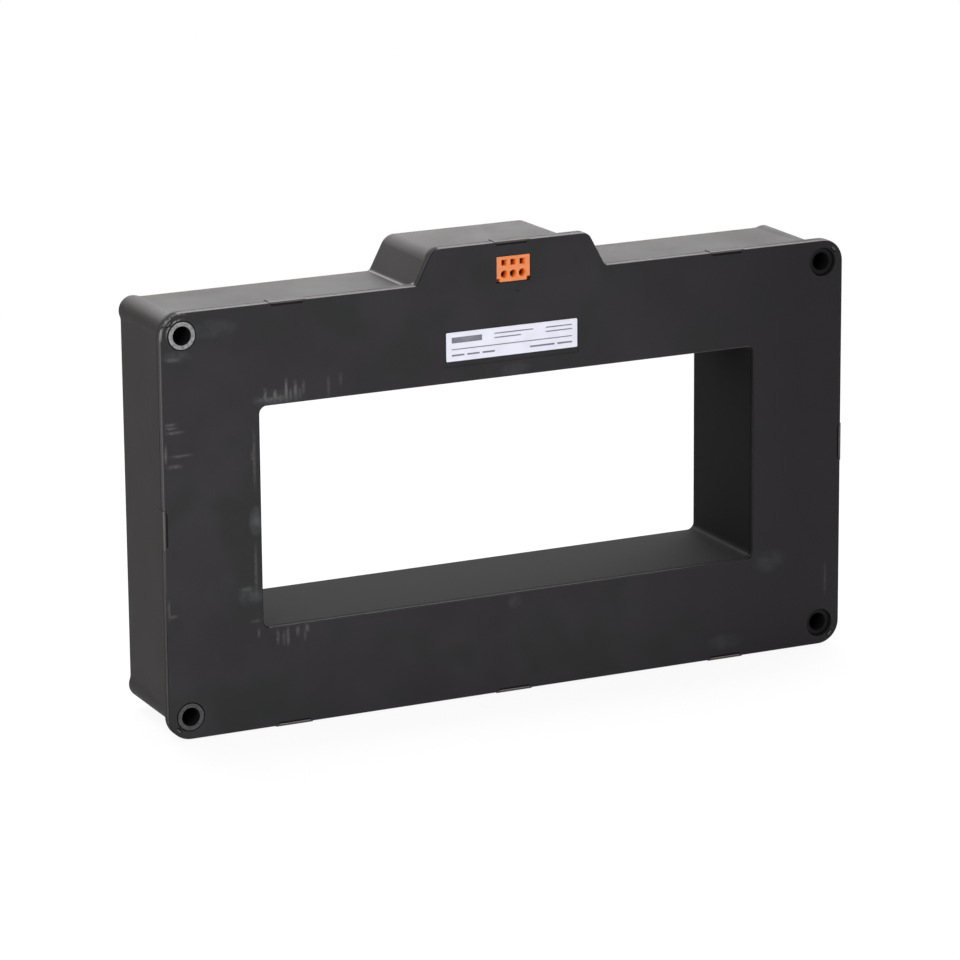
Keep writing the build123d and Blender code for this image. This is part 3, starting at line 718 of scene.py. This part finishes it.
def plain_plastic(name, colour, shade, rough):
    """Unseen moulded pieces: slight colour clouds and a fine grain."""
    shader = Shader(name)
    tone = shader.mix(shader.span(shader.noise(*PLAIN_CLOUD), *PALE_LEVELS), colour, shade)
    return shader.finish(Base_Color=tone, Roughness=rough, Normal=shader.grain(*PLAIN_GRAIN))


def wound_copper(name):
    """Enamelled copper turns, drawn as fine ridges."""
    shader = Shader(name)
    across = shader.math("ADD", shader.parts["X"], shader.parts["Z"])
    turns = shader.math("SINE", shader.times(across, 2 * math.pi / TURN_PITCH))
    colour = shader.mix(shader.span(turns, -1.0, 1.0), COPPER_DARK, COPPER)
    ridges = shader.bump(turns, *TURN_BUMP)
    return shader.finish(Base_Color=colour, Roughness=COPPER_ROUGH, Metallic=COPPER_METAL, Normal=ridges)


def strip_steel(name):
    """Edges of a wound strip, drawn as fine lines along the depth."""
    shader = Shader(name)
    lines = shader.noise(*STRIP_LINES)
    colour = shader.mix(lines, STRIP, STRIP_LIGHT)
    ridges = shader.bump(lines, *STRIP_BUMP)
    return shader.finish(Base_Color=colour, Roughness=STRIP_ROUGH, Metallic=STRIP_METAL, Normal=ridges)


def sheet_metal(name, colour, shade):
    """Rolled sheet with faint lines along the depth."""
    shader = Shader(name)
    lines = shader.noise(*SHEET_LINES)
    tone = shader.mix(lines, colour, shade)
    ridges = shader.bump(lines, *SHEET_BUMP)
    return shader.finish(Base_Color=tone, Roughness=SHEET_ROUGH, Metallic=1.0, Normal=ridges)


# Each slot's material: the function that makes it and that function's own values
RECIPES = {
    "case_plastic": (case_plastic,),
    "cover_plastic": (cover_plastic,),
    "label_film": (label_film,),
    "terminal_plastic": (orange_plastic,),
    "board_laminate": (plain_plastic, LAMINATE, LAMINATE_SHADE, 0.45),
    "core_strip": (strip_steel,),
    "tray_plastic": (plain_plastic, TRAY, TRAY_SHADE, 0.5),
    "winding_wire": (wound_copper,),
    "wire_insulation": (plain_plastic, WIRE_RED, WIRE_RED_SHADE, 0.4),
    "bush_bright": (turned_steel, ZINC, ZINC_WORN, 0.6),
    "bush_dark": (turned_steel, DARK_BUSH, DARK_BUSH_WORN, 0.0, SHADED_BUSH),
    "pad_foam": (plain_plastic, FOAM, FOAM_SHADE, 0.9),
    "contact_metal": (sheet_metal, TIN, TIN_SHADE),
    "spring_steel": (sheet_metal, SPRING, SPRING_SHADE),
}


def dress_nodes():
    """Gives each CAD node the material of its slot."""
    materials = {name: make(name, *values) for name, (make, *values) in RECIPES.items()}
    for part in RECORD["subparts"]:
        slots = frame["nodes"][part["node"]].data.materials
        slots.clear()
        slots.append(materials[part["material_slot"]])


def new_object(name, data):
    """Object that shows a mesh, camera or light in the scene."""
    made = bpy.data.objects.new(name, data)
    bpy.context.scene.collection.objects.link(made)
    return made


# Plain print on the label: a solid field and rows of bars, with no words

PRINT_LIFT = 0.02 * MM          # ink above the film
BAR_GAP = 1.6 * MM
# Rows from the label's lower left corner: across, up, height, lengths of the bars
PRINT_ROWS = [
    (3.0, 9.4, 3.0, [17.0]),
    (3.0, 5.9, 0.5, [68.0]),
    (27.0, 11.8, 0.6, [22.0]),
    (27.0, 9.6, 0.6, [15.0]),
    (56.0, 11.8, 0.6, [15.0]),
    (56.0, 9.6, 0.6, [15.0]),
    (3.0, 2.6, 0.9, [7.0, 7.0, 7.0]),
    (47.0, 2.6, 0.9, [14.0, 8.4]),
]


def print_on_label():
    """Thin inked bars as one mesh on the label's front."""
    corners = []
    faces = []
    y = LABEL_LOW.y - PRINT_LIFT
    for across, up, height, lengths in PRINT_ROWS:
        left = LABEL_LOW.x + across * MM
        low = LABEL_LOW.z + up * MM
        high = low + height * MM
        for length in lengths:
            right = left + length * MM
            first = len(corners)
            corners += [(left, y, low), (right, y, low), (right, y, high), (left, y, high)]
            faces.append(tuple(range(first, len(corners))))
            left = right + BAR_GAP
    mesh = bpy.data.meshes.new("label_print")
    mesh.from_pydata(corners, [], faces)
    mesh.materials.append(print_ink("label_ink"))
    piece = new_object("label_print", mesh)
    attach(piece, "root")


# Camera, floor and light

def add_camera():
    look = Vector((
        math.sin(CAMERA_AZIMUTH) * math.cos(CAMERA_ELEVATION),
        math.cos(CAMERA_AZIMUTH) * math.cos(CAMERA_ELEVATION),
        -math.sin(CAMERA_ELEVATION),
    ))
    data = bpy.data.cameras.new("camera")
    data.lens = CAMERA_LENS
    data.sensor_width = CAMERA_SENSOR
    camera = new_object("camera", data)
    aim = Vector((0.0, FRONT_Y, AXIS_Z)) + AIM_OFFSET
    camera.location = aim - look * CAMERA_DISTANCE
    camera.rotation_mode = "QUATERNION"
    camera.rotation_quaternion = look.to_track_quat("-Z", "Y") @ Quaternion(VIEW_AXIS, CAMERA_ROLL)
    bpy.context.scene.camera = camera


def seen_directly(tree):
    """1 for rays that show the background itself: from the camera, a reflection or glass."""
    path = tree.nodes.new("ShaderNodeLightPath")
    total = path.outputs["Is Camera Ray"]
    for name in ("Is Glossy Ray", "Is Transmission Ray"):
        either = tree.nodes.new("ShaderNodeMath")
        either.operation = "MAXIMUM"
        tree.links.new(total, either.inputs[0])
        tree.links.new(path.outputs[name], either.inputs[1])
        total = either.outputs[0]
    return total


def add_floor():
    """Pale floor that keeps the shadow and looks white further out."""
    half = FLOOR_SIZE / 2
    corners = [(-half, -half, 0), (half, -half, 0), (half, half, 0), (-half, half, 0)]
    mesh = bpy.data.meshes.new("floor")
    mesh.from_pydata(corners, [], [tuple(range(len(corners)))])
    floor = new_object("floor", mesh)
    shader = Shader("floor")
    white = shader.add("ShaderNodeEmission", {"Color": WHITE, "Strength": 1.0})
    out = shader.add("ShaderNodeVectorMath", {"Vector": shader.place}, operation="LENGTH").outputs["Value"]
    share = shader.span(out, FLOOR_NEAR, FLOOR_FAR, FLOOR_WHITE_NEAR, FLOOR_WHITE_FAR)
    both = shader.add("ShaderNodeMixShader", {"Fac": shader.times(share, seen_directly(shader.tree))})
    shader.put(both.inputs[1], shader.surface.outputs["BSDF"])
    shader.put(both.inputs[2], white.outputs["Emission"])
    shader.put(shader.tree.nodes["Material Output"].inputs["Surface"], both.outputs["Shader"])
    material = shader.finish(Base_Color=FLOOR_COLOUR, Roughness=FLOOR_ROUGH, Specular_IOR_Level=0.0)
    mesh.materials.append(material)


def add_world():
    """White background that lights the object evenly, but less than it shows."""
    world = bpy.data.worlds.new("studio")
    world.use_nodes = True
    tree = world.node_tree
    strength = tree.nodes.new("ShaderNodeMapRange")
    strength.inputs["To Min"].default_value = WORLD_FILL
    strength.inputs["To Max"].default_value = 1.0
    tree.links.new(seen_directly(tree), strength.inputs["Value"])
    background = tree.nodes["Background"]
    background.inputs["Color"].default_value = WHITE
    tree.links.new(strength.outputs["Result"], background.inputs["Strength"])
    bpy.context.scene.world = world


def add_softbox(name, place, width, height, power):
    data = bpy.data.lights.new(name, "AREA")
    data.shape = "RECTANGLE"
    data.size = width
    data.size_y = height
    data.energy = power
    lamp = new_object(name, data)
    lamp.location = place
    lamp.visible_camera = False
    lamp.rotation_mode = "QUATERNION"
    aim = Vector((0.0, 0.0, AXIS_Z))
    lamp.rotation_quaternion = (aim - Vector(place)).to_track_quat("-Z", "Y")


bpy.context.scene.view_settings.view_transform = "Standard"
dress_nodes()
print_on_label()
add_camera()
add_floor()
add_world()
for box_name, settings in SOFTBOXES.items():
    add_softbox(box_name, *settings)
